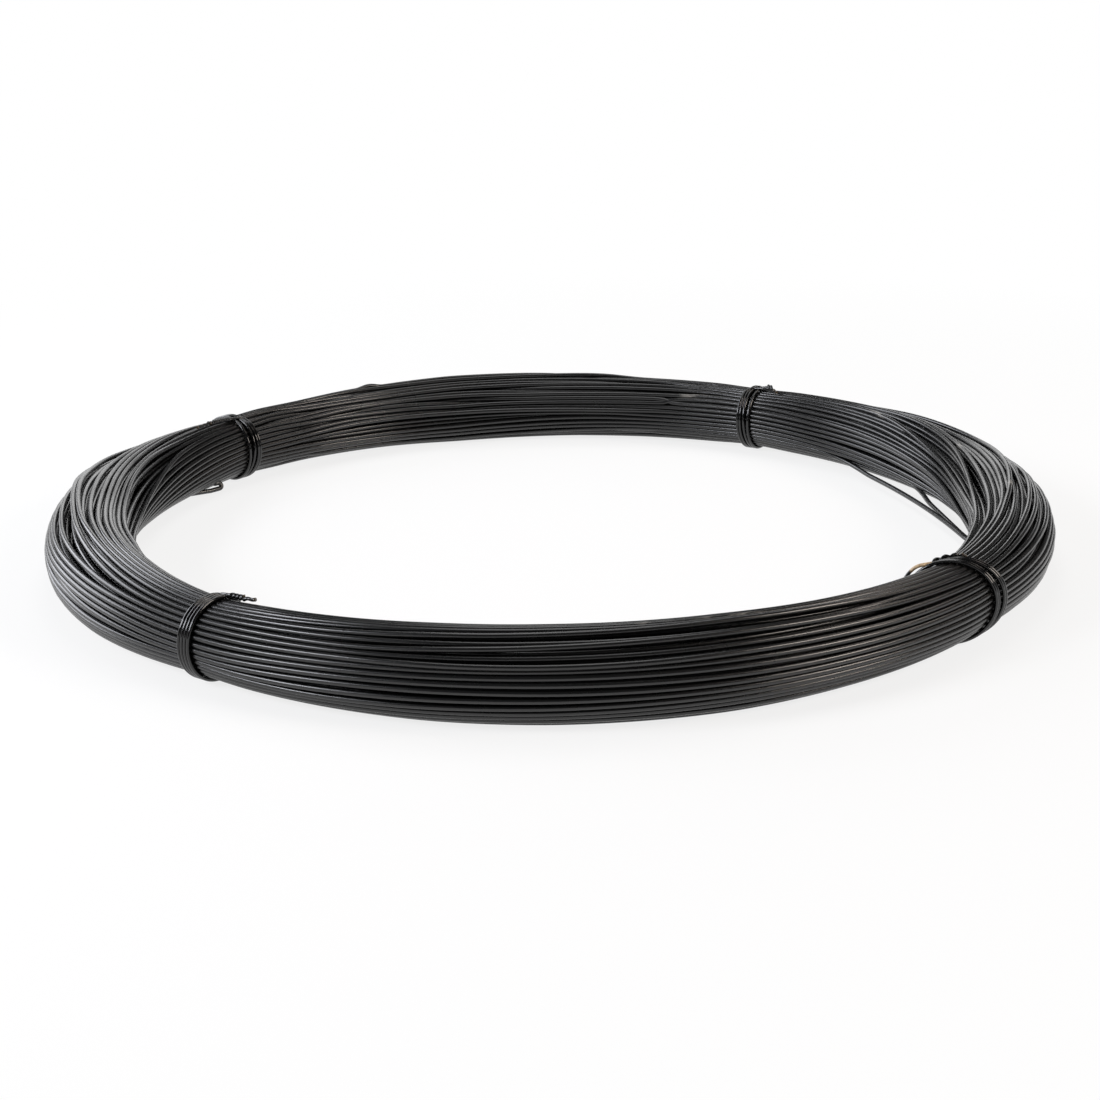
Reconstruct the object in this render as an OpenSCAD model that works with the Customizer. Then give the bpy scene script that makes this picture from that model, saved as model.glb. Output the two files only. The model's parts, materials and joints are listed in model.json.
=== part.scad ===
// Coil of coated wire.
// Black plastic coated steel wire wound into a ring and laid flat. The turns are drawn as one
// turned solid whose ridges are the outermost turns of the bundle. Four ties hold it: each is a
// length of thinner wire wrapped round the bundle, its two ends twisted together on top.
// All measures are in millimetres. The axis of the coil is Z, the floor is Z = 0, the near side is -Y.

/* [Coil] */
// Inside diameter of the coil
bore_d = 508; // [400:1:700]
// Diameter of the wire over its coating
wire_d = 3.15; // [2.4:0.05:5]
// Turns that show side by side round the bundle
outer_turns = 44; // [28:4:60]

/* [Ties] */
// Diameter of the tie wire
tie_d = 2; // [1.2:0.1:2.4]
// Times a tie goes round the bundle
tie_wraps = 4; // [3:1:6]
// Space left between the two pairs of strands of a tie that was wrapped doubled
pair_gap = 3.5; // [0:0.5:6]
// Length of the twisted ends
tail_len = 25; // [16:1:36]
// Full twists in the ends
tail_twists = 3; // [2:1:5]

/* [Places of the ties] */
// Near tie on the left, degrees round from +X
front_left_at = 231.5; // [215:0.5:245]
// Near tie on the right
front_right_at = 322.5; // [305:0.5:335]
// Far tie on the left
back_left_at = 142.5; // [125:0.5:155]
// Far tie on the right
back_right_at = 57; // [40:0.5:70]

/* [Hidden] */
// Neighbouring turns are drawn pressed together by a fiftieth of the wire
turn_pitch = wire_d * 0.98;
wire_r = wire_d / 2;
// How far the coating is pressed flat where the coil bears on the floor and on a hub
land = 0.1;
// Radius of the circle through the centres of those turns, of which two bear on the floor and two on a hub
bundle_r = outer_turns * turn_pitch / (2 * PI);
turn_step = 360 / outer_turns;
// From the middle of the bundle to the flats where it bears
bearing_r = bundle_r * cos(turn_step / 2) + wire_r - land;
// Radius of the ring through the middle of the bundle
ring_r = bore_d / 2 + bearing_r;

tie_r = tie_d / 2;
// Air between a tie and the waist it pulls into the bundle
seat = 0.3;
// A tie stays this far below the outline of the bundle
sunk = 0.1;
waist_depth = tie_d + seat + sunk;
strand_pitch = tie_d * 1.08;
side_air = 0.6;
// Radius of the bundle where a tie draws it in, and of the line the tie follows
waist_r = bearing_r - waist_depth;
wrap_r = waist_r + seat + tie_r;

// Fineness of the turned faces, of the wire circles and of the tie wires
ring_facets = 180;
arc_steps = 4;
waist_facets = 72;
tie_sides = 8;
wrap_steps = 26;
twist_steps = 9;
bend_steps = 8;

// Helpers

function unit(v) = v / norm(v);

function smooth(x) = let (t = min(1, max(0, x))) t * t * (3 - 2 * t);

function bezier(p0, p1, p2, p3, t) =
    pow(1 - t, 3) * p0 + 3 * t * pow(1 - t, 2) * p1 + 3 * t * t * (1 - t) * p2 + pow(t, 3) * p3;

function turn_dir(a) = [cos(a), sin(a)];

// Half the arc of a turn that shows, up to the valleys where it meets its neighbours
valley_r = bundle_r * cos(turn_step / 2) + sqrt(pow(wire_r, 2) - pow(bundle_r * sin(turn_step / 2), 2));
turn_arc = acos((valley_r * cos(turn_step / 2) - bundle_r) / wire_r);

// Outline of the bundle: the outer arcs of the turns that lie side by side round it
function bundle_outline() = [
    for (i = [0 : outer_turns - 1])
        let (a = (i + 0.5) * turn_step)
        for (j = [0 : arc_steps - 1])
            bundle_r * turn_dir(a) + wire_r * turn_dir(a + turn_arc * (2 * j / arc_steps - 1))
];

// Section through the bundle, bearing flat on the floor and on the hub side
module bundle_section() {
    intersection() {
        translate([ring_r, bearing_r])
            polygon(bundle_outline());
        translate([bore_d / 2, 0])
            square(2 * (bearing_r + wire_d));
    }
}

// Length of the bundle that a tie covers
function waist_len(gap) = (tie_wraps + 1) * strand_pitch + gap + 2 * side_air;

function waist_turn(gap) = waist_len(gap) / ring_r * 180 / PI;

// The bundle as the ties pull it together, all the way round
module drawn_in_ring() {
    rotate_extrude($fn = ring_facets)
        translate([ring_r, bearing_r])
            circle(r = waist_r, $fn = waist_facets);
}

// The bundle at its full size, from one tie to the next
module open_run(from, from_gap, to, to_gap) {
    start = from + waist_turn(from_gap) / 2;
    rotate([0, 0, start])
        rotate_extrude(angle = to - waist_turn(to_gap) / 2 - start, $fn = ring_facets)
            bundle_section();
}

// A point of a tie in space: turned by a round the bundle from its top, outwards and down, raised
// off the wrap by lift, and s along the coil from the middle of a tie that stands at the angle at
function placed(a, lift, s, at) =
    let (
        r = ring_r + (wrap_r + lift) * sin(a),
        b = at + s / ring_r * 180 / PI
    )
    [r * cos(b), r * sin(b), bearing_r + (wrap_r + lift) * cos(a)];

// Place along the coil of the strand after w rounds, the pairs parted by the gap halfway
function strand_s(w, gap) =
    strand_pitch * (tie_wraps / 2 - w) + gap * (0.5 - smooth(w - tie_wraps / 2 + 0.75));

// The ends twist about a line that lies on top of the bundle, towards its inner side
twist_r = tie_r * 1.12;
tail_turn = -18;
tail_lift = bundle_r + wire_r + seat + twist_r + tie_r - wrap_r;
// Where the tie leaves the bundle and comes back to it, to either side of the twist
leave_turn = 14;
function tail_from(gap) = waist_len(gap) / 2 + tie_d;
function turn_of(len) = len / wrap_r * 180 / PI;

// One end's point on the twist, t from 0 at the bundle to 1 at the tip, as [turn, lift, along]
function twist_point(t, phase, gap) =
    let (a = phase + 360 * tail_twists * t)
    [
        tail_turn + turn_of(twist_r * cos(a)),
        tail_lift + twist_r * sin(a),
        tail_from(gap) + tail_len * t
    ];

function twist_line(phase, gap) =
    let (n = tail_twists * twist_steps)
    [for (i = [0 : n]) twist_point(i / n, phase, gap)];

// The bend that leads from a strand lying round the bundle into the twist, reach in degrees
function lead(from, to, reach) = [
    for (i = [1 : bend_steps - 1])
        bezier(from, from + [reach, 0, 0], to - [0, 0, tie_d * 1.6], to, i / bend_steps)
];

function reversed(list) = [for (i = [len(list) - 1 : -1 : 0]) list[i]];

// The whole wire of a tie: in along one end, round the bundle, and out along the other end
function tie_line(gap, side) =
    let (
        first_turn = tail_turn + leave_turn,
        whole = 360 * tie_wraps - 2 * leave_turn,
        n = tie_wraps * wrap_steps,
        rounds = [
            for (i = [0 : n])
                [first_turn + whole * i / n, 0, strand_s(tie_wraps * i / n, gap)]
        ],
        one = twist_line(0, gap),
        two = [for (q = twist_line(180, gap)) q + [360 * tie_wraps, 0, 0]]
    )
    [
        for (q = concat(
            reversed(one),
            reversed(lead(rounds[0], one[0], -leave_turn)),
            rounds,
            lead(rounds[n], two[0], leave_turn),
            two
        )) [q[0], q[1], side * q[2]]
    ];

// Directions along a line of points
function along(path) = [
    for (i = [0 : len(path) - 1])
        unit(path[min(i + 1, len(path) - 1)] - path[max(i - 1, 0)])
];

function square_to(v, t) = unit(v - (v * t) * t);

// A wire of radius r along a line of points, its ring of points carried along without twisting
module wire_along(path, r, start) {
    dirs = along(path);
    count = len(path);
    normals = [
        for (i = 0, n = square_to(start, dirs[0]);
            i < count;
            i = i + 1, n = square_to(n, dirs[min(i, count - 1)])) n
    ];
    points = [
        for (i = [0 : count - 1])
            let (m = cross(dirs[i], normals[i]))
            for (j = [0 : tie_sides - 1])
                let (a = 360 * j / tie_sides)
                path[i] + r * (cos(a) * normals[i] + sin(a) * m)
    ];
    sides = [
        for (i = [0 : count - 2])
            for (j = [0 : tie_sides - 1])
                let (
                    k = (j + 1) % tie_sides,
                    a = i * tie_sides,
                    b = a + tie_sides
                )
                each [[a + j, b + j, a + k], [a + k, b + j, b + k]]
    ];
    tip_a = [for (j = [0 : tie_sides - 1]) j];
    tip_b = [for (j = [tie_sides - 1 : -1 : 0]) (count - 1) * tie_sides + j];
    polyhedron(points = points, faces = concat([tip_a], sides, [tip_b]), convexity = 10);
}

module tie(at, gap, side) {
    color("#141414")
        wire_along(
            [for (q = tie_line(gap, side)) placed(q[0], q[1], q[2], at)],
            tie_r,
            [0, 0, 1]
        );
}

// Parts

module wire_coil() {
    color("#3a3a3c")
        union() {
            drawn_in_ring();
            open_run(back_right_at, pair_gap, back_left_at, pair_gap);
            open_run(back_left_at, pair_gap, front_left_at, 0);
            open_run(front_left_at, 0, front_right_at, pair_gap);
            open_run(front_right_at, pair_gap, back_right_at + 360, pair_gap);
        }
}

module tie_front_left() {
    tie(front_left_at, 0, 1);
}

module tie_front_right() {
    tie(front_right_at, pair_gap, 1);
}

module tie_back_left() {
    tie(back_left_at, pair_gap, 1);
}

module tie_back_right() {
    tie(back_right_at, pair_gap, -1);
}

wire_coil();
tie_front_left();
tie_front_right();
tie_back_left();
tie_back_right();
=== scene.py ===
import json
import math

import bpy
import numpy as np
from mathutils import Matrix, Vector


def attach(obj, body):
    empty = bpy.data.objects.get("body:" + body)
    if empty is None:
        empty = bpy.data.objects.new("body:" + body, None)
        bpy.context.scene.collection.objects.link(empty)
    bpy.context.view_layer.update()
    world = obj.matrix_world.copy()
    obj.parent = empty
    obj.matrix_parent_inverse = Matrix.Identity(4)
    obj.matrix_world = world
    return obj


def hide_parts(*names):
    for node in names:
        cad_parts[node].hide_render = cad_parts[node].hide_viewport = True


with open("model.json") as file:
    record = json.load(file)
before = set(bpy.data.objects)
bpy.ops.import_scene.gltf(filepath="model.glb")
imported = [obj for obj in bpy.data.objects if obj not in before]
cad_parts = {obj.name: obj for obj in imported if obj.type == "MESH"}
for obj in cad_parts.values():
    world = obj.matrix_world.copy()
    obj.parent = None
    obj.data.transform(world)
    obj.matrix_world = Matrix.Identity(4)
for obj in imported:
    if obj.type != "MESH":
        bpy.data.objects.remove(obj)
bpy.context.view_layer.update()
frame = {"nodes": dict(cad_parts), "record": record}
print("frame loaded:", sorted(frame["nodes"]))

bore = next(m for m in frame["record"]["mounts"] if m["name"] == "bore")
midHeight = bore["pos_m"][2] * 1000  # middle of the bundle above the floor, mm
ringRadius = bore["dims"]["r_mm"] + midHeight  # ring through the middle of the bundle, mm
# where the ties are, degrees round from +X
tieAngles = {"frontLeft": 231.5, "frontRight": 322.5, "backLeft": 142.5, "backRight": 57}
frontLeft, frontRight, backLeft, backRight = tieAngles.values()


def linear(hexColour):  # an sRGB hex value as the linear colour that a socket takes
    parts = [int(hexColour[i:i + 2], 16) / 255 for i in (1, 3, 5)]
    return [c / 12.92 if c <= 0.04045 else ((c + 0.055) / 1.055) ** 2.4 for c in parts] + [1.0]


def scaleFor(size):  # the pattern scale that gives marks of this size in mm
    return 1000 / size


def addNode(tree, kind, settings=None, links=None):
    node = tree.nodes.new(kind)
    for name, value in (settings or {}).items():
        if isinstance(name, int) or name in node.inputs:
            node.inputs[name].default_value = value
        else:
            setattr(node, name, value)
    for name, source in (links or {}).items():
        tree.links.new(source, node.inputs[name])
    return node


def easeBump(x):  # 1 at x = 0, falling smoothly to 0 at x = -1 and 1
    return np.where(np.abs(x) < 1, 0.5 + 0.5 * np.cos(np.pi * np.clip(x, -1, 1)), 0.0)


def easeStep(x):  # rises smoothly from 0 to 1
    x = np.clip(x, 0, 1)
    return x * x * (3 - 2 * x)


def runningMean(values, width):  # over width values to either side
    kernel = np.ones(2 * width + 1) / (2 * width + 1)
    return np.convolve(np.pad(values, width, mode="edge"), kernel, "valid")


def turnApart(a, b):  # degrees from b to a the short way round
    return (a - b + 180) % 360 - 180


def aroundRing(knots, ring, width):  # values known at some ring angles, eased over width half degrees
    fine = np.arange(720) / 2
    lap = 60  # half degrees repeated past both ends, so that the easing runs on round the ring
    level = np.interp(fine, *np.array(knots, float).T, period=360)
    level = runningMean(np.concatenate([level[-lap:], level, level[:lap]]), width)[lap:-lap]
    return np.interp(np.degrees(ring) % 360, fine, level, period=360)


# The winding is one wire laid turn on turn from the middle of the bundle outwards.
# Ring angles are degrees round from +X; places round the bundle are degrees up from outwards.
coil = {
    "wire": 3.15,  # over the coating, mm
    "layers": (3, 8, 14, 20, 26, 31, 38),  # turns in each layer, from the middle out
    "layerStep": 2.7,  # from one layer to the next, mm
    "steps": 240,  # points along a turn
    "seed": 19,

    "waist": 20.6,  # half thickness of the bundle under a tie, mm
    "shoulders": ((-6, 0.9), (-1.9, 0), (1.9, 0), (6, 0.9)),  # degrees from the tie, mm over the waist
    # half thickness between the ties, mm
    "girth": ((0, 25.0), (15, 23.0), (30, 22.8), (75, 21.8), (95, 23.2), (105, 23.4), (116, 21.8),
              (130, 21.0), (155, 22.4), (168, 24.2), (178, 25.0), (190, 25.0), (203, 25.8),
              (213, 24.6), (246, 22.6), (258, 24.0), (270, 24.5), (288, 24.2), (300, 22.8),
              (336, 23.4), (350, 24.8)),
    # how far the bundle is rolled inwards, degrees
    "roll": ((backRight, 0), (backLeft, 0), (165, 32), (188, 62), (206, 56), (frontLeft, 36),
             (276, 40), (frontRight, 48), (348, 64), (0, 60), (15, 38), (35, 14)),
    # how loose the turns lie, 0 where they are tied
    "loose": ((backRight, 0), (72, 0.9), (98, 1.0), (124, 0.9), (backLeft, 0), (163, 0.9), (190, 1.0),
              (214, 0.7), (frontLeft, 0), (246, 0.55), (276, 0.5), (308, 0.55), (frontRight, 0),
              (340, 0.8), (0, 1.0), (32, 0.8)),
    "eased": {"girth": 3, "roll": 16, "loose": 8},  # half degrees to either side

    "sway": 0.12,  # how far a layer turns against the next, radians
    "groupings": 7, "drawIn": 0.28,  # times that turns draw together in groups, and how far
    "wander": (1.5, 1.7),  # how far a loose turn strays along and across its layer, mm
    "wanderStep": 36, "wanderEase": 16,  # points from one such stray to the next, and easing between

    # turns that ride over their neighbours: ring angle, half its reach, place, swing
    "riders": ((91, 19, 82, 5), (180, 34, 150, 14), (352, 34, 140, 14)),
    # and more of them by chance: from, to, how many, most swing, and between which places they lie
    "looseRuns": ((backLeft, frontLeft, 6, 14, 60, 200), (frontRight, backRight + 360, 6, 14, 60, 200),
                  (backRight, backLeft, 5, 9, 60, 200), (frontLeft, frontRight, 5, 8, -20, 100)),
    "leastReach": 30, "leastSwing": 0.35,  # half reach in degrees, and share of the most swing
    "tieClear": 4, "play": 1,  # degrees kept clear of a tie, and left to place a rider in
    "edge": 25,  # a rider this near the edge of those places swings back from it, degrees
    "riderLift": 0.6, "riderRoom": 0.7,  # how far it stands out and is given room, in wires

    # slack turns across the inside: where it leaves, its place, its middle and radius there, how straight
    "strays": ((38, 218, 14, 246.4, 0.6), (21, 226, 5.6, 250.5, 1.0)),
    "strayHeight": 6.0, "strayEase": 16,  # how high it lies, mm, and degrees in which it comes away
    "kink": (118, 2.3, 80, 1.7),  # a short bent stretch: ring angle, half its reach, place, rise in mm
    "endAt": 149, "endTurn": 247,  # ring angle of the outer end, and the place where each layer starts
    "endSpot": (-14.6, -20.4), "endPoints": 5,  # the end springs clear of the bundle to here, mm
    "hook": {"bend": 1.9, "back": 2.6, "towards": (0.38, 0.925), "splay": 0.1},  # bent out and up, mm
    "floorAir": 0.02,  # mm
}


def girthAt(ring):
    knots = list(coil["girth"])
    for at in tieAngles.values():
        knots += [(at + off, coil["waist"] + rise) for off, rise in coil["shoulders"]]
    return aroundRing(knots, ring, coil["eased"]["girth"])


def inSection(angle, radius):  # outwards and up from the middle of the bundle, mm
    return np.stack([radius * np.cos(angle), radius * np.sin(angle)], 1)


def bumpAlong(points, first, reach):  # 1 at the point first, falling to 0 within reach degrees of ring
    return easeBump((points - first) / (reach / 360 * coil["steps"]))


def outerTurnAt(laid, ringAt, turnAt):  # where an outer turn that shows passes nearest to a place
    steps, count = coil["steps"], len(laid)
    passing = (count - 1 - round((ringAt - coil["endAt"]) / 360 * steps)) % steps
    points = np.arange(count - (coil["layers"][-1] - 1) * steps, count - 2 * steps)  # not the end turns
    points = points[points % steps == passing]
    out = np.hypot(*laid[points].T)
    apart = np.abs(turnApart(np.degrees(np.arctan2(laid[points, 1], laid[points, 0])), turnAt))
    deep = 6 * (out.max() - out)  # a mm further in counts as 6 degrees further off
    return points[(apart + deep).argmin()]


def windTurns(rng, ring, limit):  # angle round the bundle and distance from its middle, along the wire
    steps, layers, count = coil["steps"], coil["layers"], len(ring)
    loose = aroundRing(coil["loose"], ring, coil["eased"]["loose"])
    climb = steps // 5  # points to either side in which the wire climbs to the next layer
    angle, depth, sway = [], [], []
    for layer, n in enumerate(layers):
        angle.append(2 * np.pi * (layer + np.arange(n * steps) / (n * steps)))
        depth.append(np.full(n * steps, (len(layers) - 1 - layer) * coil["layerStep"]))
        waveSizes = rng.normal(0, coil["sway"], (1, 4)) * (1, 1, 0.5, 0.5)  # once and twice round
        sway.append(np.repeat(waveSizes, n * steps, 0))
    depth = runningMean(np.concatenate(depth), climb)
    sway = np.stack([runningMean(column, climb) for column in np.concatenate(sway).T], 1)
    waves = np.stack([np.cos(ring), np.sin(ring), np.cos(2 * ring), np.sin(2 * ring)], 1)
    angle = np.radians(coil["endTurn"]) + np.concatenate(angle) + (sway * waves).sum(1)

    for _ in range(coil["groupings"]):  # turns draw together in groups and leave gaps beside them
        many, drift, phase = rng.integers(3, 9), rng.integers(-4, 5), rng.uniform(0, 2 * np.pi)
        angle = angle + loose * coil["drawIn"] / many * np.sin(many * angle + drift * ring + phase)
    wander = rng.normal(0, 1, (2, count // coil["wanderStep"] + 2))  # and each one wanders by itself
    spot = np.arange(count) / coil["wanderStep"]
    aside, inwards = (runningMean(np.interp(spot, np.arange(len(w)), w), coil["wanderEase"]) for w in wander)
    roll = np.radians(aroundRing(coil["roll"], ring, coil["eased"]["roll"]))
    angle = angle + loose * coil["wander"][0] * aside / limit + roll
    nearest = 0.3  # to the middle of the bundle, mm
    radius = np.clip(limit - depth + loose * coil["wander"][1] * inwards, nearest, limit)
    return angle, radius


def pickRiders(rng):
    riders, clear, edge = list(coil["riders"]), coil["tieClear"], coil["edge"]
    for start, stop, many, most, low, high in coil["looseRuns"]:
        for turnAt in rng.uniform(low, high, many):
            reach = rng.uniform(coil["leastReach"], (stop - start - coil["play"]) / 2 - clear)
            swing = rng.uniform(coil["leastSwing"], 1) * most
            if turnAt < low + edge:
                way = 1
            elif turnAt > high - edge:
                way = -1
            else:
                way = rng.choice((-1, 1))
            ringAt = rng.uniform(start + reach + clear, stop - reach - clear)
            riders.append((ringAt, reach, turnAt, swing * way))
    return riders


def rideOver(riders, angle, radius, limit):  # the section with the riders lifted, and the room they need
    wire, points = coil["wire"], np.arange(len(angle))
    room = np.zeros(len(angle))
    for ringAt, reach, turnAt, swing in riders:
        bump = bumpAlong(points, outerTurnAt(inSection(angle, radius), ringAt, turnAt), reach)
        rise = easeStep(1.5 * bump)  # up sooner than it swings
        angle = angle + np.radians(swing) * bump
        radius = radius * (1 - rise) + (limit + coil["riderLift"] * wire) * rise
        room = np.maximum(room, coil["riderRoom"] * wire * rise)
    return inSection(angle, radius), room


parting = {
    "rounds": 300,  # passes that part the turns where they press into each other
    "lookAgain": 10, "nearby": 1.5,  # passes between looks for neighbours, and how far off, in wires
    "push": 0.36,  # share of the overlap by which each of the two gives way
    "settling": 0.8,  # share of the passes after which the wire is eased less
    "ease": (2, 0.5), "lastEase": (1, 0.2),  # times and strength, before and after that
}


def partTurns(planned, limit, turns):
    steps, wire, rounds = coil["steps"], coil["wire"], parting["rounds"]
    laid, count = planned.copy(), len(planned)
    one, two = np.triu_indices(turns, 1)
    floorLine = wire / 2 - midHeight
    for turn in range(rounds):
        if turn % parting["lookAgain"] == 0:  # neighbours in each section
            grid = laid.reshape(turns, steps, 2)
            near = ((grid[one] - grid[two]) ** 2).sum(2) < (parting["nearby"] * wire) ** 2
            pair, at = np.nonzero(near)
            a, b = one[pair] * steps + at, two[pair] * steps + at
        gap = laid[a] - laid[b]
        apart = np.hypot(gap[:, 0], gap[:, 1]) + 1e-6
        push = np.where(apart < wire, parting["push"] * (wire - apart) / apart, 0)[:, None] * gap
        for axis in (0, 1):
            laid[:, axis] += np.bincount(a, push[:, axis], count) - np.bincount(b, push[:, axis], count)
        out = np.hypot(laid[:, 0], laid[:, 1])
        laid *= np.minimum(1, limit / np.maximum(out, 1e-6))[:, None]
        laid[:, 1] = np.maximum(laid[:, 1], floorLine)
        moved = laid - planned
        times, strength = parting["lastEase" if turn > rounds * parting["settling"] else "ease"]
        for _ in range(times):  # a stiff wire bends slowly
            moved[1:-1] += strength * (0.5 * (moved[:-2] + moved[2:]) - moved[1:-1])
        laid = planned + moved
    left = np.maximum(0, wire - np.hypot(*(laid[a] - laid[b]).T))
    print("turns laid:", turns, "pressed together by at most", round(float(left.max()), 2), "mm, mean",
          round(float(left[left > 0].mean()), 3))
    return laid


def pullStrays(laid):  # slack turns cut across the inside
    points, ease, widest = np.arange(len(laid)), coil["strayEase"], 60  # widest in degrees
    picked = [outerTurnAt(laid, leavesAt, turnAt) for leavesAt, turnAt, *_ in coil["strays"]]
    for first, (leavesAt, _, middleAt, nearest, straight) in zip(picked, coil["strays"]):
        off = leavesAt - middleAt - (points - first) * 360 / coil["steps"]  # degrees from its middle
        pull = easeStep((leavesAt - middleAt + ease / 2 - np.abs(off)) / ease)[:, None]
        bow = 1 / np.cos(np.radians(np.clip(off, -widest, widest))) - 1
        out = nearest + straight * nearest * bow - ringRadius
        up = np.full(len(laid), coil["strayHeight"] - midHeight)
        laid += pull * (np.stack([out, up], 1) - laid)


def layTurns():  # ring angles along the wire, and its places in the section
    rng = np.random.default_rng(coil["seed"])
    steps, wire, turns = coil["steps"], coil["wire"], sum(coil["layers"])
    points = np.arange(turns * steps)
    ring = np.radians(coil["endAt"]) + 2 * np.pi * points[::-1] / steps
    limit = girthAt(ring) - wire / 2
    angle, radius = windTurns(rng, ring, limit)
    planned, room = rideOver(pickRiders(rng), angle, radius, limit)
    laid = partTurns(planned, limit + room, turns)
    pullStrays(laid)
    sprung = easeStep((points - (len(points) - coil["endPoints"])) / (coil["endPoints"] - 1))
    laid += sprung[:, None] * (np.array(coil["endSpot"]) - laid[-1])
    laid[:, 1] = np.maximum(laid[:, 1], wire / 2 - midHeight + coil["floorAir"])
    return ring, laid


def inFrame(ring, outwards, up):  # a place on the bundle, mm, as a point in the frame, metres
    r = ringRadius + outwards
    return np.stack([r * np.cos(ring), r * np.sin(ring), midHeight + up], -1) / 1000


def lengthAlong(line):
    return np.concatenate([[0], np.cumsum(np.linalg.norm(np.diff(line, axis=0), axis=1))])


def tubeMesh(name, line, radius, sides, marks):
    count = len(line)
    ahead = np.gradient(line, axis=0)
    ahead /= np.linalg.norm(ahead, axis=1)[:, None]
    side = np.zeros_like(line)  # carried along the wire without twisting
    carried = np.cross(ahead[0], (0.3, 0.2, 1.0))  # any way across the wire to start with
    for i in range(count):
        carried = carried - (carried @ ahead[i]) * ahead[i]
        carried /= math.sqrt(carried @ carried)
        side[i] = carried
    turn = 2 * np.pi * np.arange(sides)[None, :, None] / sides
    rim = np.cos(turn) * side[:, None] + np.sin(turn) * np.cross(ahead, side)[:, None]
    verts = (line[:, None] + radius * rim).reshape(-1, 3)
    row = np.arange(count - 1)[:, None] * sides
    j, k = np.arange(sides)[None], (np.arange(sides)[None] + 1) % sides
    faces = np.stack([row + j, row + k, row + sides + k, row + sides + j], 2).reshape(-1, 4)
    last = (count - 1) * sides
    caps = [np.arange(sides - 1, -1, -1), np.arange(last, last + sides)]  # both ends closed

    length = lengthAlong(line)
    u0, u1 = (np.repeat(u[:, None], sides, 1) for u in (length[:-1], length[1:]))
    v0 = np.repeat(np.arange(sides)[None] / sides, count - 1, 0)
    v1 = v0 + 1 / sides
    uvs = np.stack([np.stack(c, 2) for c in ((u0, v0), (u0, v1), (u1, v1), (u1, v0))], 2).reshape(-1, 2)
    uvs = np.concatenate([uvs, np.zeros((2 * sides, 2))])  # metres along the wire, and once round it

    mesh = bpy.data.meshes.new(name)
    mesh.vertices.add(len(verts))
    mesh.vertices.foreach_set("co", verts.astype(np.float32).ravel())
    corners = np.concatenate([faces.ravel(), *caps])
    mesh.loops.add(len(corners))
    mesh.loops.foreach_set("vertex_index", corners.astype(np.int32))
    sizes = np.concatenate([np.full(len(faces), 4), (sides, sides)])
    starts = np.concatenate([[0], np.cumsum(sizes)[:-1]])
    mesh.polygons.add(len(sizes))
    mesh.polygons.foreach_set("loop_start", starts.astype(np.int32))
    mesh.polygons.foreach_set("use_smooth", sizes == 4)
    mesh.uv_layers.new(name="alongWire").data.foreach_set("uv", uvs.astype(np.float32).ravel())
    for key, values in marks.items():
        mark = mesh.attributes.new(key, "FLOAT", "POINT")
        mark.data.foreach_set("value", np.repeat(values, sides).astype(np.float32))
    mesh.update(calc_edges=True)
    mesh.validate()
    piece = bpy.data.objects.new(name, mesh)
    bpy.context.collection.objects.link(piece)
    return piece


# soft PVC extruded over steel: near black and satin, with a dull grey streak of light along each turn, and
# pale marks on a few turns that are partly rubs and partly painted glints
def pvcCoating():
    mat = bpy.data.materials.new("Black PVC wire coating, satin")
    mat.use_nodes = True
    tree = mat.node_tree
    shader = tree.nodes["Principled BSDF"]
    place = addNode(tree, "ShaderNodeTexCoord").outputs["Object"]
    tone = addNode(tree, "ShaderNodeAttribute", {"attribute_name": "tone"}).outputs["Fac"]
    scuff = addNode(tree, "ShaderNodeAttribute", {"attribute_name": "scuff"}).outputs["Fac"]
    cloud = addNode(tree, "ShaderNodeTexNoise", {"Scale": scaleFor(45), "Detail": 3.0},
                    {"Vector": place})  # handling marks
    mixed = addNode(tree, "ShaderNodeMath", {"operation": "MULTIPLY_ADD", 1: 0.5},
                    {0: cloud.outputs["Fac"], 2: tone})
    shade = addNode(tree, "ShaderNodeValToRGB", {}, {"Fac": mixed.outputs[0]})
    darkest, palest = shade.color_ramp.elements
    darkest.position, darkest.color = 0.1, linear("#060606")
    palest.position, palest.color = 0.95, linear("#121212")
    wrapped = addNode(tree, "ShaderNodeTexCoord").outputs["UV"]
    drawn = addNode(tree, "ShaderNodeMapping", {"Scale": (scaleFor(12), 4.0, 1.0)},
                    {"Vector": wrapped})  # rubs and painted glints drawn along the wire
    specks = addNode(tree, "ShaderNodeTexNoise", {"Scale": 1.0, "Detail": 3.0},
                     {"Vector": drawn.outputs["Vector"]})
    paleStreaks = addNode(tree, "ShaderNodeMapRange", {"From Min": 0.46, "From Max": 0.62},
                     {"Value": specks.outputs["Fac"]})
    marked = addNode(tree, "ShaderNodeMath", {"operation": "MULTIPLY"}, {0: paleStreaks.outputs[0], 1: scuff})
    # pale colour mixed in by the marks: partly rubs on the coating, partly painted glints
    colour = addNode(tree, "ShaderNodeMix", {"data_type": "RGBA", 7: linear("#8b8882")},
                     {0: marked.outputs[0], 6: shade.outputs["Color"]})
    tree.links.new(colour.outputs[2], shader.inputs["Base Color"])
    dull = addNode(tree, "ShaderNodeMapRange",
                   {"From Min": 0.3, "From Max": 0.7, "To Min": 0.23, "To Max": 0.3},
                   {"Value": cloud.outputs["Fac"]})
    tree.links.new(dull.outputs[0], shader.inputs["Roughness"])
    grain = addNode(tree, "ShaderNodeTexNoise", {"Scale": scaleFor(0.8), "Detail": 2.0},
                    {"Vector": place})  # extruded skin
    bump = addNode(tree, "ShaderNodeBump", {"Strength": 0.02, "Distance": 0.00005},
                   {"Height": grain.outputs["Fac"]})
    tree.links.new(bump.outputs["Normal"], shader.inputs["Normal"])
    shader.inputs["IOR"].default_value = 1.57
    return mat


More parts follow.
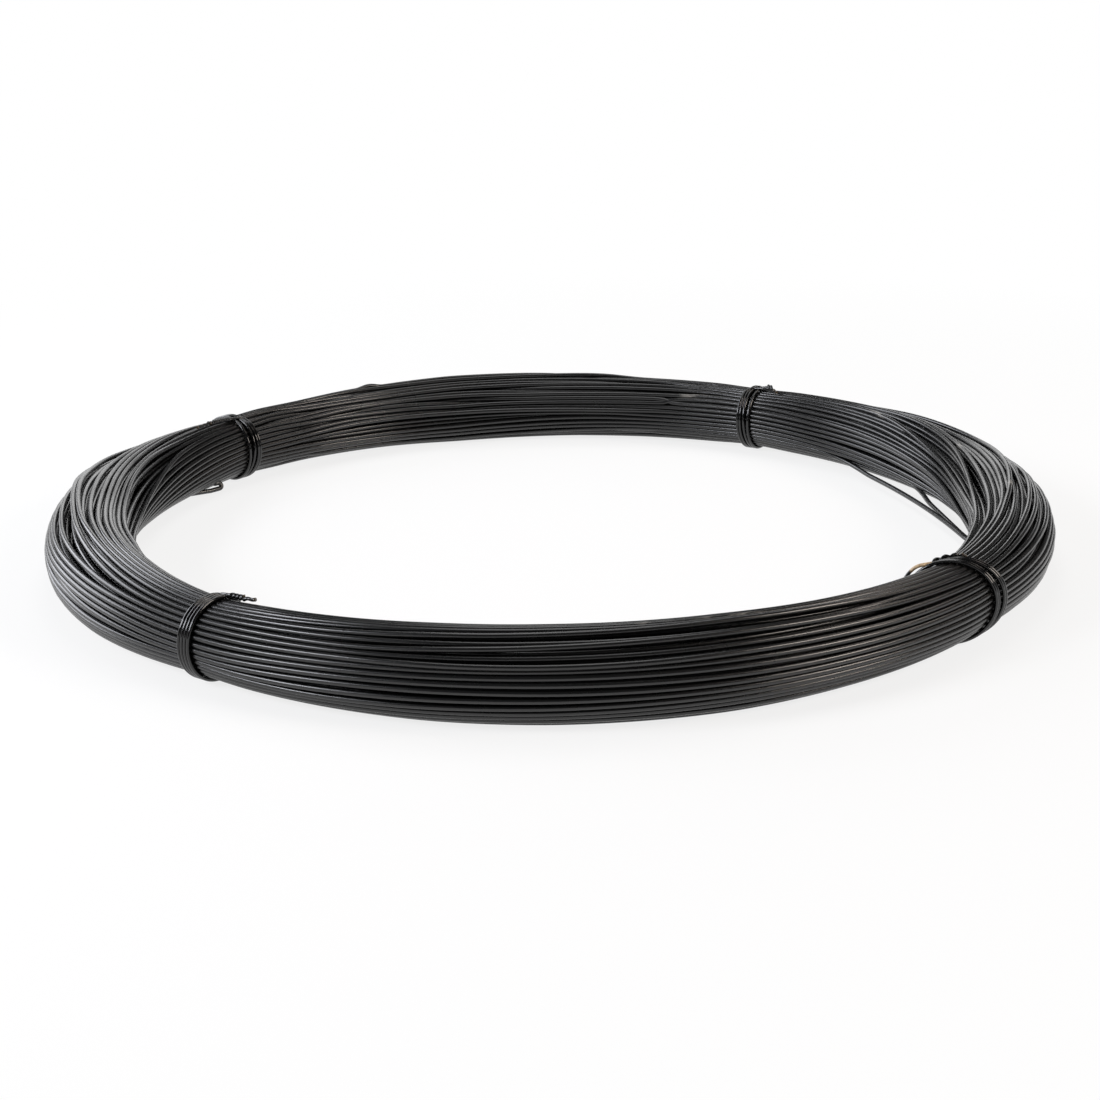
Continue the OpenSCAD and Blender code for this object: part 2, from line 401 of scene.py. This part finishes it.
# hard glossy coating on thin tie wire: black with sharp lights, worn to tan where it was gripped
def tieCoating():
    mat = bpy.data.materials.new("Black tie wire coating, glossy")
    mat.use_nodes = True
    tree = mat.node_tree
    shader = tree.nodes["Principled BSDF"]
    place = addNode(tree, "ShaderNodeTexCoord").outputs["Object"]
    bare = addNode(tree, "ShaderNodeAttribute", {"attribute_name": "bare"}).outputs["Fac"]
    cloud = addNode(tree, "ShaderNodeTexNoise", {"Scale": scaleFor(6), "Detail": 3.0},
                    {"Vector": place})  # plier marks
    shade = addNode(tree, "ShaderNodeValToRGB", {}, {"Fac": cloud.outputs["Fac"]})
    darkest, palest = shade.color_ramp.elements
    darkest.position, darkest.color = 0.3, linear("#070707")
    palest.position, palest.color = 0.75, linear("#131313")
    flake = addNode(tree, "ShaderNodeTexNoise", {"Scale": scaleFor(1.8), "Detail": 3.0},
                    {"Vector": place})  # flaked coating
    tan = addNode(tree, "ShaderNodeValToRGB", {}, {"Fac": flake.outputs["Fac"]})
    brown, cream = tan.color_ramp.elements
    brown.position, brown.color = 0.35, linear("#8a6a48")
    cream.position, cream.color = 0.65, linear("#dcc6a2")
    colour = addNode(tree, "ShaderNodeMix", {"data_type": "RGBA"},
                     {0: bare, 6: shade.outputs["Color"], 7: tan.outputs["Color"]})
    tree.links.new(colour.outputs[2], shader.inputs["Base Color"])
    dull = addNode(tree, "ShaderNodeMath", {"operation": "MULTIPLY_ADD", 1: 0.4, 2: 0.09}, {0: bare})
    tree.links.new(dull.outputs[0], shader.inputs["Roughness"])
    bump = addNode(tree, "ShaderNodeBump", {"Strength": 0.1, "Distance": 0.0001},
                   {"Height": flake.outputs["Fac"]})
    tree.links.new(bump.outputs["Normal"], shader.inputs["Normal"])
    shader.inputs["IOR"].default_value = 1.55
    return mat


# matt white studio paint that stays white to the eye and still takes the shadow round the coil
def whiteFloor():
    mat = bpy.data.materials.new("White studio floor, matt")
    mat.use_nodes = True
    tree = mat.node_tree
    tree.nodes.remove(tree.nodes["Principled BSDF"])
    place = addNode(tree, "ShaderNodeTexCoord").outputs["Object"]
    away = addNode(tree, "ShaderNodeVectorMath", {"operation": "LENGTH"}, {0: place})
    share = addNode(tree, "ShaderNodeMapRange",
                    {"From Min": 0.4, "From Max": 1.0, "To Min": 0.8, "To Max": 1.0},
                    {"Value": away.outputs["Value"]})  # whiter from 0.4 m to 1 m off
    rays = addNode(tree, "ShaderNodeLightPath").outputs
    seen = addNode(tree, "ShaderNodeMath", {"operation": "MAXIMUM"},
                   {0: rays["Is Camera Ray"], 1: rays["Is Glossy Ray"]})
    seen = addNode(tree, "ShaderNodeMath", {"operation": "MAXIMUM"},
                   {0: seen.outputs[0], 1: rays["Is Transmission Ray"]})
    part = addNode(tree, "ShaderNodeMath", {"operation": "MULTIPLY"},
                   {0: seen.outputs[0], 1: share.outputs[0]})
    matt = addNode(tree, "ShaderNodeBsdfDiffuse", {"Color": linear("#f4f4f4")})
    glow = addNode(tree, "ShaderNodeEmission", {"Color": linear("#ffffff"), "Strength": 1.0})
    mixed = addNode(tree, "ShaderNodeMixShader", {},
                    {0: part.outputs[0], 1: matt.outputs[0], 2: glow.outputs[0]})
    tree.links.new(mixed.outputs[0], tree.nodes["Material Output"].inputs["Surface"])
    return mat


ring, laid = layTurns()
along = inFrame(ring, laid[:, 0], laid[:, 1])

wearAndGlints = {
    "seed": 23,
    "tones": (0.0, 0.55), "toneEase": 12,  # of single turns, and points over which one passes into the next
    # pale marks on single turns, partly rubs and partly painted glints (the two on top of the near run are
    # painted glints): ring angle, half its reach, place round the bundle
    "rubs": ((34, 2.5, 118), (351, 2.0, 104), (67, 3, 138), (12, 2, 112), (288, 5, 96), (279, 2, 94)),
}
rng = np.random.default_rng(wearAndGlints["seed"])
tones = rng.uniform(*wearAndGlints["tones"], sum(coil["layers"]))
turnTone = runningMean(np.repeat(tones, coil["steps"]), wearAndGlints["toneEase"])
# the pale marks along their turns, partly rubs and partly painted glints
scuffsAndGlints = np.zeros(len(ring))
for ringAt, reach, turnAt in wearAndGlints["rubs"]:
    paleMark = bumpAlong(np.arange(len(ring)), outerTurnAt(laid, ringAt, turnAt), reach)
    scuffsAndGlints = np.maximum(scuffsAndGlints, paleMark)


def bentEnd():  # the hook at the outer end, in the frame
    hook, bendPoints, backPoints = coil["hook"], 15, 6
    ahead = along[-1] - along[-2]
    ahead /= np.linalg.norm(ahead)
    outwards = np.array((math.cos(ring[-1]), math.sin(ring[-1]), 0))
    towards = hook["towards"][0] * outwards + np.array((0, 0, hook["towards"][1]))
    bend = np.linspace(0, np.pi, bendPoints)[1:, None]
    curl = along[-1] + hook["bend"] / 1000 * (np.sin(bend) * ahead + (1 - np.cos(bend)) * towards)
    back = np.linspace(0, 1, backPoints)[1:, None] * hook["back"] / 1000
    return np.concatenate([curl, curl[-1] - back * ahead + hook["splay"] * back * outwards])


def kinkedTurn(line, first):  # finer points where a turn is bent, and the bend
    ringAt, reach, turnAt, rise = coil["kink"]
    span, parts = 3, 8  # steps to either side, and points in a step
    fine = np.arange(-span * parts, span * parts + 1) / parts
    wanted = np.concatenate([np.arange(first - span), first + fine, np.arange(first + span + 1, len(line))])
    line = np.stack([np.interp(wanted, np.arange(len(line)), c) for c in line.T], 1)
    lift = bumpAlong(wanted, first, reach)[:, None] * rise / 1000
    turnAt, ringAt = math.radians(turnAt), math.radians(ringAt)
    outwards = np.array((math.cos(ringAt), math.sin(ringAt), 0))
    return line + lift * (math.cos(turnAt) * outwards + np.array((0, 0, math.sin(turnAt)))), wanted


coilPieces = {  # from which layer to which, and the sides of the wire
    "coreTurns": (0, 4, 6),
    "thirdTurns": (4, 5, 8),
    "secondTurns": (5, 6, 8),
    "outerTurns": (6, 7, 8),
}
coating = pvcCoating()
lo = 0
for name, (inner, outer, sides) in coilPieces.items():
    turns = sum(coil["layers"][inner:outer])
    hi = lo + turns * coil["steps"]
    line, tone, mark = (values[lo:hi + 1] for values in (along, turnTone, scuffsAndGlints))
    if name == "outerTurns":
        ringAt, _, turnAt, _ = coil["kink"]
        line, wanted = kinkedTurn(line, outerTurnAt(laid, ringAt, turnAt) - lo)
        hook = bentEnd()
        line = np.concatenate([line, hook])
        tone, mark = (np.append(np.interp(wanted, np.arange(len(v)), v), np.full(len(hook), v[-1]))
                      for v in (tone, mark))
    piece = tubeMesh(name, line, coil["wire"] / 2000, sides, {"tone": tone, "scuff": mark})
    piece.data.materials.append(coating)
    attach(piece, "root")
    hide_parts("wire_coil")
    print("coil piece made:", name, "turns", turns, "faces", len(piece.data.polygons))
    lo = hi

# The ties are thin wire wrapped four times, ends twisted together on top.
# Places round the bundle are degrees outwards from its top; lengths are mm.
tieBase = {
    "wire": 2.0, "wraps": 4, "pitch": 2.08,
    "air": 0.15,  # between the tie and the turns under it
    "gap": 0.0, "gapAt": 90, "gapReach": 150,  # how far the two pairs part, where, and over what reach
    "crossOver": 0.5,  # share of a wrap in which the wire passes from one pair to the other
    "lean": 0.0, "leanAt": 80,  # how far the strands slant along the coil, and where they don't
    "leave": 16, "bendLead": 1.8,  # degrees beside the twist, and wires before it, to bend into it
    "tailSide": 1, "tailFrom": 7.4,  # which way the twisted ends lie along the coil, and from where
    "tailDrift": 0, "tailRise": 0.0,  # how far they turn outwards on the way, and arch up
    "twistSpread": 1.04,  # how far from its middle each wire of the twist lies, in half wires
    "runOn": (0.12, 0.1, 0.25),  # past the shorter end it narrows: by where, over what, to which share
    "standOff": 0.0, "standAt": -55, "standReach": 60,  # a slack stretch of the last strand
    "bare": None, "bareFade": 3,  # from and to, where that strand is worn, and how soon that starts
    "cutDull": 0.12, "cutPoints": 2,  # the cut ends are a little dulled
    "wrapSteps": 60, "tailSteps": 60, "bendSteps": 14,  # points worked out in each
    "spacing": 0.7, "smoothing": 4, "sides": 12,  # of its points, times it is smoothed, and round it
}
# each tie's own ends: their place, the longer one's length, the twists, and the shorter one's share
ties = {
    "tie_front_left": {
        "at": frontLeft,
        "tailTurn": -17, "tailLength": 17, "twists": 1.8, "shortEnd": 0.55,
    },
    "tie_front_right": {
        "at": frontRight, "gap": 4.0, "gapAt": 85, "lean": -22,
        "tailTurn": -36, "tailLength": 10, "twists": 1.7, "shortEnd": 0.9,
        "tailFrom": 4.2, "tailDrift": 40, "standOff": 2.8, "bare": (-54, -32),
    },
    "tie_back_left": {
        "at": backLeft, "gap": 4.4, "gapAt": -80, "gapReach": 130,
        "tailTurn": -14, "tailLength": 33, "twists": 4.0, "shortEnd": 0.6, "tailRise": 0.6,
    },
    "tie_back_right": {
        "at": backRight, "gap": 2.6, "gapAt": -60, "gapReach": 170,
        "tailTurn": -8, "tailLength": 13, "twists": 1.8, "shortEnd": 0.85,
        "tailSide": -1, "tailDrift": -12, "tailRise": 2.6,
    },
}


def evenSpaced(line, spacing):
    length = lengthAlong(line)
    wanted = np.linspace(0, length[-1], int(length[-1] / spacing) + 1)
    return np.stack([np.interp(wanted, length, c) for c in line.T], 1), wanted, length


def tieWire(tie):  # points along the wire, and how far its coating is worn
    half, wraps, leave, top = tie["wire"] / 2, tie["wraps"], tie["leave"], tie["tailTurn"]
    at = math.radians(tie["at"])
    twistRadius = half * tie["twistSpread"]

    def leaning(turn):
        return tie["lean"] * (0.5 - 0.5 * np.cos(np.radians(turn - tie["leanAt"])))

    def seated(s):  # radius of a strand that lies on the turns
        return girthAt(at + tie["tailSide"] * s / ringRadius) + tie["air"] + half

    def tail(phase, share):
        f = np.linspace(0, share, int(tie["tailSteps"] * share))
        spin = np.radians(phase) + 2 * np.pi * tie["twists"] * f / tie["shortEnd"]
        until, over, least = tie["runOn"]  # one end runs on alone
        twist = twistRadius * np.clip((tie["shortEnd"] + until - f) / over, least, 1)
        s = tie["tailFrom"] + leaning(top) + tie["tailLength"] * f
        on = seated(s) + twistRadius + tie["tailRise"] * np.sin(np.pi * f / share) ** 2
        across = top + tie["tailDrift"] * f
        return np.stack([across + np.degrees(twist * np.cos(spin) / on), on + twist * np.sin(spin), s], 1)

    def lead(a, b, reach):  # the bend from a strand into the twist
        u = np.linspace(0, 1, tie["bendSteps"])[1:-1, None]
        p1, p2 = a + np.array((reach, 0, 0)), b - np.array((0, 0, tie["wire"] * tie["bendLead"]))
        return (1 - u) ** 3 * a + 3 * u * (1 - u) ** 2 * p1 + 3 * u * u * (1 - u) * p2 + u ** 3 * b

    w = np.linspace(0, wraps, wraps * tie["wrapSteps"] + 1)
    turn = top + leave + (360 * wraps - 2 * leave) * w / wraps
    part = tie["gap"] * easeBump(turnApart(turn, tie["gapAt"]) / tie["gapReach"])
    crossed = easeStep((w - wraps / 2 + tie["crossOver"]) / tie["crossOver"])
    place = tie["pitch"] * (wraps / 2 - w) + part * (0.5 - crossed) + leaning(turn)
    lift = tie["standOff"] * easeBump((turn - 360 * wraps - tie["standAt"]) / tie["standReach"])
    rounds = np.stack([turn, seated(place) + lift, place], 1)
    one, two = tail(0, 1.0), tail(180, tie["shortEnd"])
    two[:, 0] += 360 * wraps
    bendIn, bendOut = lead(rounds[0], one[0], -leave), lead(rounds[-1], two[0], leave)
    turn, out, s = np.concatenate([one[::-1], bendIn[::-1], rounds, bendOut, two]).T

    a = np.radians(turn)
    points = inFrame(at + tie["tailSide"] * s / ringRadius, out * np.sin(a), out * np.cos(a))
    points, wanted, length = evenSpaced(points, tie["spacing"] / 1000)
    for _ in range(tie["smoothing"]):
        points[1:-1] += 0.5 * (0.5 * (points[:-2] + points[2:]) - points[1:-1])
    points[:, 2] = np.maximum(points[:, 2], half / 1000)
    fromEnd = np.minimum(np.arange(len(points)), np.arange(len(points))[::-1])
    bare = tie["cutDull"] * (fromEnd < tie["cutPoints"])
    if tie["bare"]:
        here = np.interp(wanted, length, turn) - 360 * wraps
        inside = np.minimum(here - tie["bare"][0], tie["bare"][1] - here)
        bare = np.maximum(bare, np.clip(inside / tie["bareFade"], 0, 1))
    return points, bare


glossy = tieCoating()
for name, given in ties.items():
    tie = {**tieBase, **given}
    points, bare = tieWire(tie)
    first, *rest = name.split("_")
    pieceName = first + "".join(word.title() for word in rest)
    piece = tubeMesh(pieceName, points, tie["wire"] / 2000, tie["sides"], {"bare": bare})
    piece.data.materials.append(glossy)
    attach(piece, "root")
    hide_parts(name)
    print("tie made:", piece.name, "points", len(points))

studio = {
    "floor": 60,  # metres across
    "wall": {"sides": 96, "radius": 29, "height": 3.2, "sunk": 0.1},  # for views that look past the floor
    "world": "#e8ecf2", "worldStrength": 0.06,
    "aim": (0, 0, 0.02),  # the lamps point at the middle of the coil
}
bpy.ops.object.select_all(action="DESELECT")
bpy.ops.mesh.primitive_plane_add(size=studio["floor"], location=(0, 0, 0))
floor = bpy.context.object
floor.name = "studioFloor"
floor.data.materials.append(whiteFloor())
wall = studio["wall"]
bpy.ops.mesh.primitive_cylinder_add(vertices=wall["sides"], radius=wall["radius"],
                                    depth=wall["height"], end_fill_type="NOTHING",
                                    location=(0, 0, wall["height"] / 2 - wall["sunk"]))
backdrop = bpy.context.object
backdrop.name = "studioBackdrop"
backdrop.data.materials.append(floor.data.materials[0])

world = bpy.data.worlds.new("studio")
bpy.context.scene.world = world
world.use_nodes = True
world.node_tree.nodes["Background"].inputs["Color"].default_value = linear(studio["world"])
world.node_tree.nodes["Background"].inputs["Strength"].default_value = studio["worldStrength"]

# a white strip behind, soft boxes beside it and above, and a lamp on each side, in metres
softboxes = (
    {"name": "backStrip", "place": (-0.2, 2.6, 0.75), "size": (2.2, 0.7), "watts": 10, "colour": "#ffffff"},
    {"name": "leftBack", "place": (-2.2, 1.25, 1.0), "size": (1.9, 1.5), "watts": 46, "colour": "#f6f8ff"},
    {"name": "rightBack", "place": (1.6, 0.9, 1.85), "size": (1.0, 0.6), "watts": 5.5, "colour": "#fff3e8"},
    {"name": "leftLamp", "place": (-1.82, -0.82, 1.14), "size": (0.9, 0.7), "watts": 34, "colour": "#f6f8ff"},
    {"name": "rightLamp", "place": (1.82, -0.82, 1.14), "size": (0.9, 0.7), "watts": 26, "colour": "#fff3e8"},
    {"name": "topBox", "place": (0, 0.5, 1.85), "size": (0.9, 1.7), "watts": 11, "colour": "#ffffff"},
)
for box in softboxes:
    towards = Vector(studio["aim"]) - Vector(box["place"])
    turned = towards.to_track_quat("-Z", "Y").to_euler()
    bpy.ops.object.light_add(type="AREA", location=box["place"], rotation=turned)
    lamp = bpy.context.object
    lamp.name = box["name"]
    lamp.data.shape = "RECTANGLE"
    lamp.data.size, lamp.data.size_y = box["size"]
    lamp.data.energy = box["watts"]
    lamp.data.color = linear(box["colour"])[:3]
print("studio made:", len(softboxes), "lights")

camera = {
    "pixels": 1100, "focal": 2000,  # the picture's width and the focal length, both in its pixels
    "sensor": 36,  # mm
    "aim": (-0.0005, 0.0, -0.0020), "distance": 1.2359,  # metres
    "height": 17.631, "roll": -0.851,  # degrees
    "farthest": 100,  # that it shows, metres
}
tilt, roll = math.radians(camera["height"]), math.radians(camera["roll"])
ahead = Vector((0, math.cos(tilt), -math.sin(tilt)))
level = Vector((1, 0, 0))
upright = level.cross(ahead)
right = level * math.cos(roll) + upright * math.sin(roll)
up = upright * math.cos(roll) - level * math.sin(roll)
spot = Vector(camera["aim"]) - ahead * camera["distance"]
bpy.ops.object.camera_add()
eye = bpy.context.object
eye.data.sensor_width = camera["sensor"]
eye.data.lens = camera["sensor"] * camera["focal"] / camera["pixels"]
eye.data.clip_end = camera["farthest"]
eye.matrix_world = Matrix((
    (right.x, up.x, -ahead.x, spot.x),
    (right.y, up.y, -ahead.y, spot.y),
    (right.z, up.z, -ahead.z, spot.z),
    (0, 0, 0, 1),
))
scene = bpy.context.scene
scene.camera = eye
scene.view_settings.view_transform = "Standard"

bpy.context.view_layer.update()
print("scene ready")
